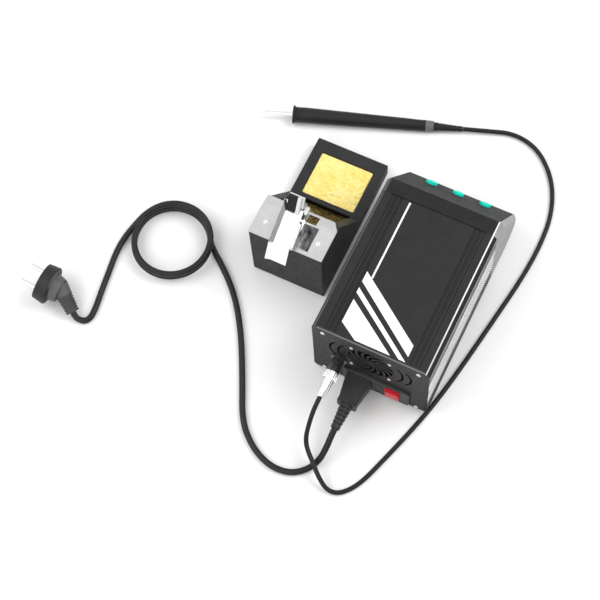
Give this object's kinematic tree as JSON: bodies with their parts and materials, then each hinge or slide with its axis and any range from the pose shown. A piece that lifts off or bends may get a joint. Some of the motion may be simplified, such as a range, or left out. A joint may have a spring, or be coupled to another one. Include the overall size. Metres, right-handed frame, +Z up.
{
  "type": "soldering iron station",
  "caption": "Soldering iron station: control unit with fan, sockets and buttons, tool stand with sponge and brass wool, cartridge iron on its cord, and a coiled power cord with a round plug.",
  "frame": {"origin": "on the bench, under the centre of the control unit's case, at the level of its feet", "axes": "+Z up; +Y from the control unit's front to its rear panel; +X to the right of a person in front of the buttons, towards the tool stand"},
  "size_m": [0.4626, 0.4439, 0.1259],
  "materials": {
    "case_metal": "fine satin",
    "foot_rubber": "matt",
    "top_skin": "printed skin",
    "side_skin": "printed skin",
    "screw_steel": "zinc plated",
    "fan_plastic": "matt",
    "moulded_black": "moulded",
    "pin_nickel": "nickel plated",
    "switch_red": "gloss",
    "socket_black": "moulded",
    "nut_steel": "plain",
    "bezel_dark": "moulded",
    "cheek_grey": "moulded",
    "window_smoke": "smoked",
    "board_green": "circuit board",
    "button_teal": "moulded",
    "transformer_core": "varnished",
    "heatsink_aluminium": "extruded",
    "capacitor_sleeve": "sleeve",
    "stand_black": "moulded",
    "sponge_yellow": "cellulose sponge",
    "wool_brass": "shavings",
    "holder_steel": "bent sheet",
    "puller_steel": "sheet",
    "handle_black": "moulded",
    "handle_grey": "moulded",
    "relief_rubber": "ribbed",
    "inner_plastic": "moulded",
    "tip_metal": "plated",
    "connector_metal": "plated",
    "ring_dark": "knurled",
    "iron_cord_jacket": "silicone",
    "power_cord_jacket": "round jacket",
    "plug_black": "moulded"
  },
  "bodies": {
    "station": {"base_tray": "case_metal", "board_standoffs": "nut_steel", "button_board": "board_green", "capacitors": "capacitor_sleeve", "case_cover": "case_metal", "cheek_left": "cheek_grey", "cheek_right": "cheek_grey", "connector_ring": "ring_dark", "cord_loop": "power_cord_jacket", "display_board": "board_green", "display_window": "window_smoke", "fan_frame": "fan_plastic", "fan_screws": "screw_steel", "feet": "foot_rubber", "front_bezel": "bezel_dark", "fuse_drawer": "moulded_black", "heatsink": "heatsink_aluminium", "inlet_housing": "moulded_black", "inlet_pins": "pin_nickel", "iron_connector": "connector_metal", "iron_cord": "iron_cord_jacket", "iron_socket": "socket_black", "mains_connector": "moulded_black", "mains_plug": "plug_black", "mains_relief": "moulded_black", "plug_pins": "pin_nickel", "plug_relief": "moulded_black", "power_board": "board_green", "power_cord_a": "power_cord_jacket", "power_cord_b": "power_cord_jacket", "rear_panel": "case_metal", "rear_screws": "screw_steel", "side_panel_left": "side_skin", "side_panel_right": "side_skin", "socket_nut": "nut_steel", "top_panel": "top_skin", "transformer": "transformer_core"},
    "button_1": {"button_1": "button_teal"},
    "button_2": {"button_2": "button_teal"},
    "button_3": {"button_3": "button_teal"},
    "rocker": {"rocker_switch": "switch_red"},
    "fan": {"fan_rotor": "fan_plastic"},
    "stand": {"stand_body": "stand_black", "stand_feet": "foot_rubber", "brass_wool": "wool_brass", "holder_plate": "holder_steel", "holder_screws": "screw_steel", "iron_rest": "holder_steel", "tip_puller": "puller_steel", "puller_grip": "foot_rubber"},
    "sponge": {"sponge": "sponge_yellow"},
    "iron": {"handle_collar": "handle_black", "handle_grip": "handle_black", "handle_ring": "handle_grey", "handle_relief": "relief_rubber", "cartridge_socket": "inner_plastic"},
    "tip": {"tip_cartridge": "tip_metal"}
  },
  "joints": [
    {"name": "button_1_press", "type": "slide", "parent": "station", "child": "button_1", "axis": [0, 0.8329, -0.5534], "range_m": [0, 0.0012], "stiffness_N_per_m": 1500},
    {"name": "button_2_press", "type": "slide", "parent": "station", "child": "button_2", "axis": [0, 0.8329, -0.5534], "range_m": [0, 0.0012], "stiffness_N_per_m": 1500},
    {"name": "button_3_press", "type": "slide", "parent": "station", "child": "button_3", "axis": [0, 0.8329, -0.5534], "range_m": [0, 0.0012], "stiffness_N_per_m": 1500},
    {"name": "rocker_tilt", "type": "hinge", "parent": "station", "child": "rocker", "pos_m": [-0.025, 0.087, 0.0225], "axis": [1, 0, 0], "range_deg": [0, 16]},
    {"name": "fan_spin", "type": "hinge", "parent": "station", "child": "fan", "pos_m": [0, 0.0765, 0.0712], "axis": [0, 1, 0], "continuous": true},
    {"name": "stand_lift", "type": "slide", "parent": "station", "child": "stand", "axis": [0, 0, 1], "range_m": [0, 0.06]},
    {"name": "sponge_lift", "type": "slide", "parent": "stand", "child": "sponge", "axis": [0, 0, 1], "range_m": [0, 0.025]},
    {"name": "iron_lift", "type": "slide", "parent": "station", "child": "iron", "axis": [0, 0, 1], "range_m": [0, 0.06]},
    {"name": "cartridge_pull", "type": "slide", "parent": "iron", "child": "tip", "axis": [0.9405, 0.339, 0.0243], "range_m": [0, 0.036]}
  ]
}
